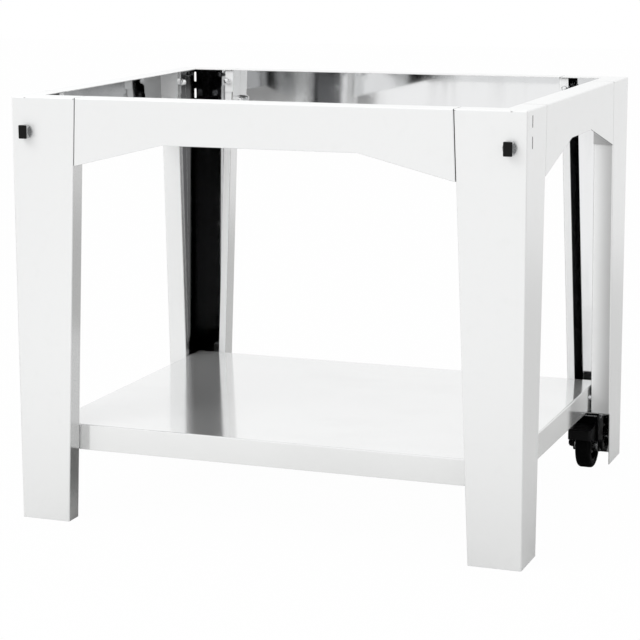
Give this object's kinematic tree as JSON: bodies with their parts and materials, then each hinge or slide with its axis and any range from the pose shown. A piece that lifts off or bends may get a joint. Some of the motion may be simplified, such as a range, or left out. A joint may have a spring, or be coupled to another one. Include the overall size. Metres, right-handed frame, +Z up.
{
  "type": "oven cart",
  "caption": "Folded stainless cart frame with tapered corner legs, arched aprons, a low shelf tray, rear castors and front pegs; its open rim carries a tabletop pizza oven.",
  "frame": {"origin": "on the floor, at the middle of the bounding box's underside", "axes": "+X along the width to the cart's right as seen from the front, +Y from the front to the back, +Z up"},
  "size_m": [1, 0.816, 0.82],
  "materials": {
    "brushed_steel_sheet": "brushed outside, bright inside",
    "polished_steel_sheet": "bright, lightly smudged",
    "plain_steel_sheet": "plain mill finish",
    "black_steel": "satin black",
    "tyre_rubber": "matt black rubber",
    "wheel_plastic": "dark moulded plastic",
    "bush_metal": "machined",
    "cap_plastic": "satin black",
    "chrome": "polished",
    "zinc_steel": "bright zinc"
  },
  "bodies": {
    "frame": {"leg_front_left": "brushed_steel_sheet", "leg_front_right": "brushed_steel_sheet", "leg_rear_left": "brushed_steel_sheet", "leg_rear_right": "brushed_steel_sheet", "apron_front": "brushed_steel_sheet", "apron_rear": "brushed_steel_sheet", "apron_left": "brushed_steel_sheet", "apron_right": "brushed_steel_sheet", "shelf": "polished_steel_sheet", "shelf_rail": "plain_steel_sheet", "frame_bolts": "zinc_steel", "frame_nuts": "chrome", "shelf_bolts": "zinc_steel", "shelf_spacers": "zinc_steel", "shelf_nuts": "zinc_steel", "castor_bracket_left": "plain_steel_sheet", "castor_bracket_right": "plain_steel_sheet", "castor_fork_left": "black_steel", "castor_fork_right": "black_steel", "brake_pin_left": "zinc_steel", "brake_pin_right": "zinc_steel", "castor_bolts_left": "zinc_steel", "castor_bolts_right": "zinc_steel", "castor_nuts_left": "zinc_steel", "castor_nuts_right": "zinc_steel", "axle_bolt_left": "zinc_steel", "axle_bolt_right": "zinc_steel", "axle_nut_left": "zinc_steel", "axle_nut_right": "zinc_steel", "axle_sleeve_left": "zinc_steel", "axle_sleeve_right": "zinc_steel", "peg_base_left": "chrome", "peg_base_right": "chrome", "peg_block_left": "chrome", "peg_block_right": "chrome", "peg_cap_left": "cap_plastic", "peg_cap_right": "cap_plastic", "peg_screw_left": "zinc_steel", "peg_screw_right": "zinc_steel"},
    "wheel_left": {"wheel_bush_left": "bush_metal", "wheel_hub_left": "zinc_steel", "wheel_core_left": "wheel_plastic", "tyre_left": "tyre_rubber"},
    "wheel_right": {"wheel_bush_right": "bush_metal", "wheel_hub_right": "zinc_steel", "wheel_core_right": "wheel_plastic", "tyre_right": "tyre_rubber"},
    "brake_left": {"brake_lever_left": "black_steel", "brake_shoe_left": "tyre_rubber"},
    "brake_right": {"brake_lever_right": "black_steel", "brake_shoe_right": "tyre_rubber"}
  },
  "joints": [
    {"name": "wheel_left_spin", "type": "hinge", "parent": "frame", "child": "wheel_left", "pos_m": [-0.4425, 0.354, 0.05], "axis": [1, 0, 0], "continuous": true},
    {"name": "wheel_right_spin", "type": "hinge", "parent": "frame", "child": "wheel_right", "pos_m": [0.4425, 0.354, 0.05], "axis": [1, 0, 0], "continuous": true},
    {"name": "brake_left_press", "type": "hinge", "parent": "frame", "child": "brake_left", "pos_m": [-0.4425, 0.349, 0.112], "axis": [1, 0, 0], "range_deg": [0, 6]},
    {"name": "brake_right_press", "type": "hinge", "parent": "frame", "child": "brake_right", "pos_m": [0.4425, 0.349, 0.112], "axis": [1, 0, 0], "range_deg": [0, 6]}
  ]
}
